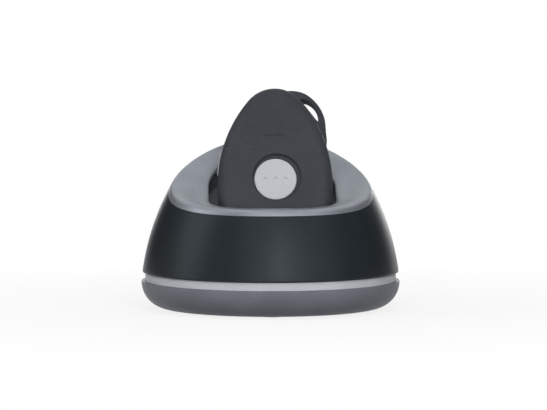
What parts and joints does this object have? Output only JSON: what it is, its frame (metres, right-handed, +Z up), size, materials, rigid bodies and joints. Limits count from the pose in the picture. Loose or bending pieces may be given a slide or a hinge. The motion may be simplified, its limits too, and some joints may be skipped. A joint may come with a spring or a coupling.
{
  "type": "emergency call button",
  "caption": "Teardrop emergency call pendant with a round push button, side key and lanyard loop, standing in a domed charging dock with a light ring.",
  "frame": {"origin": "on the dock's axis at table level, under its rubber feet", "axes": "+X to the right seen from the front, +Y to the back where the power socket is, +Z up"},
  "size_m": [0.0966, 0.0966, 0.0828],
  "materials": {
    "base_grey": "moulded, fine satin grain",
    "light_diffuser": "frosted translucent moulding",
    "dome_black": "satin moulding",
    "plate_silver": "metallic silver-grey paint with a fine grain",
    "pendant_grey": "moulded, fine spark grain",
    "button_grey": "smooth satin moulding",
    "rubber_black": "matt",
    "black_plastic": "moulded",
    "steel": "plain",
    "gold_plate": "gold plated",
    "circuit_board": "green solder mask",
    "led_white": "white package",
    "flex_amber": "amber film",
    "battery_foil": "foil pouch",
    "antenna_ceramic": "fired, silvered top"
  },
  "bodies": {
    "dock": {"base_shell": "base_grey", "ballast_plate": "steel", "rubber_feet": "rubber_black", "base_screws": "steel", "light_ring": "light_diffuser", "light_board": "circuit_board", "light_leds": "led_white", "dock_board": "circuit_board", "dock_board_screws": "steel", "power_socket": "steel", "socket_tongue": "black_plastic", "light_flex": "flex_amber", "contact_flex": "flex_amber", "dome_shell": "dome_black", "top_plate": "plate_silver", "pocket_liner": "black_plastic", "pocket_screws": "steel", "contact_block": "black_plastic", "contact_screws": "steel", "contact_barrels": "gold_plate", "contact_spring_left": "steel", "contact_spring_right": "steel"},
    "contact_left": {"contact_pin_left": "gold_plate"},
    "contact_right": {"contact_pin_right": "gold_plate"},
    "pendant": {"front_shell": "pendant_grey", "rear_shell": "pendant_grey", "shell_seal": "rubber_black", "shell_screws": "steel", "pendant_board": "circuit_board", "battery": "battery_foil", "loudspeaker": "black_plastic", "speaker_gasket": "rubber_black", "speaker_mesh": "steel", "microphone": "steel", "vibration_motor": "steel", "radio_shield": "steel", "position_antenna": "antenna_ceramic", "radio_antenna": "flex_amber", "call_switch": "black_plastic", "side_switch": "black_plastic", "charge_pads": "gold_plate", "button_seal": "rubber_black"},
    "call_button": {"call_button_cap": "button_grey", "call_switch_stem": "button_grey"},
    "side_button": {"side_key": "button_grey", "side_switch_stem": "button_grey"}
  },
  "joints": [
    {"name": "pendant_lift", "type": "slide", "parent": "dock", "child": "pendant", "axis": [0, 0.342, 0.9397], "range_m": [0, 0.08]},
    {"name": "call_press", "type": "slide", "parent": "pendant", "child": "call_button", "axis": [0, 0.9397, -0.342], "range_m": [0, 0.0006], "stiffness_N_per_m": 600},
    {"name": "side_press", "type": "slide", "parent": "pendant", "child": "side_button", "axis": [1, 0, 0], "range_m": [0, 0.0004], "stiffness_N_per_m": 800},
    {"name": "contact_left_press", "type": "slide", "parent": "dock", "child": "contact_left", "axis": [0, -0.342, -0.9397], "range_m": [0, 0.0007], "stiffness_N_per_m": 500, "deforming": ["contact_spring_left"]},
    {"name": "contact_right_press", "type": "slide", "parent": "dock", "child": "contact_right", "axis": [0, -0.342, -0.9397], "range_m": [0, 0.0007], "stiffness_N_per_m": 500, "deforming": ["contact_spring_right"]}
  ]
}
